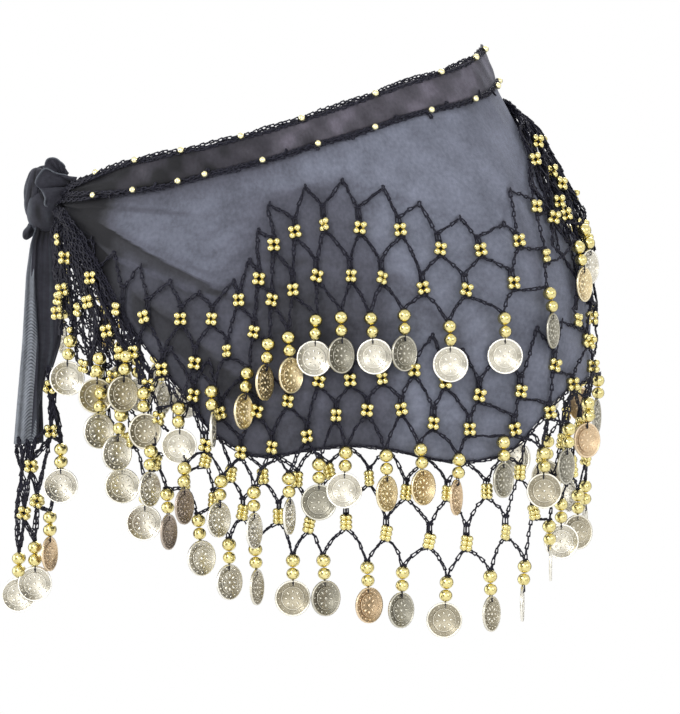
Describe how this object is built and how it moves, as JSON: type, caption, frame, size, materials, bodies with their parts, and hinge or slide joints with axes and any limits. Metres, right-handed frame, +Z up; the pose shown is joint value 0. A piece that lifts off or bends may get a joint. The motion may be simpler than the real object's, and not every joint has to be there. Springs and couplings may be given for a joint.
{
  "type": "belly dance hip scarf",
  "caption": "Sheer black hip scarf worn round the hips and knotted at one side, with crocheted bead nets and tiers of hanging gold coins.",
  "frame": {"origin": "on the hip axis at mid height of the tilted waistband, where the hips hold the scarf", "axes": "+Z up, the front of the scarf faces -Y, the knot is at -X on the wearer's left hip as it is seen from the front"},
  "size_m": [0.353, 0.2539, 0.3407],
  "materials": {
    "chiffon": "sheer black chiffon",
    "chiffon_double": "doubled or gathered black chiffon",
    "crochet": "crocheted black yarn",
    "coins": "bright plated gold coins and beads"
  },
  "bodies": {
    "root": {"coins_lower": "coins", "coins_middle": "coins", "coins_upper": "coins", "knot": "chiffon_double", "net_lower_back": "crochet", "net_lower_front": "crochet", "net_middle": "crochet", "net_upper": "crochet", "scarf_panel": "chiffon", "tail_back": "chiffon", "tail_coins_back": "coins", "tail_coins_front": "coins", "tail_front": "chiffon", "tail_net_back": "crochet", "tail_net_front": "crochet", "trim_band": "crochet", "trim_top": "crochet", "waistband": "chiffon_double"}
  },
  "joints": []
}
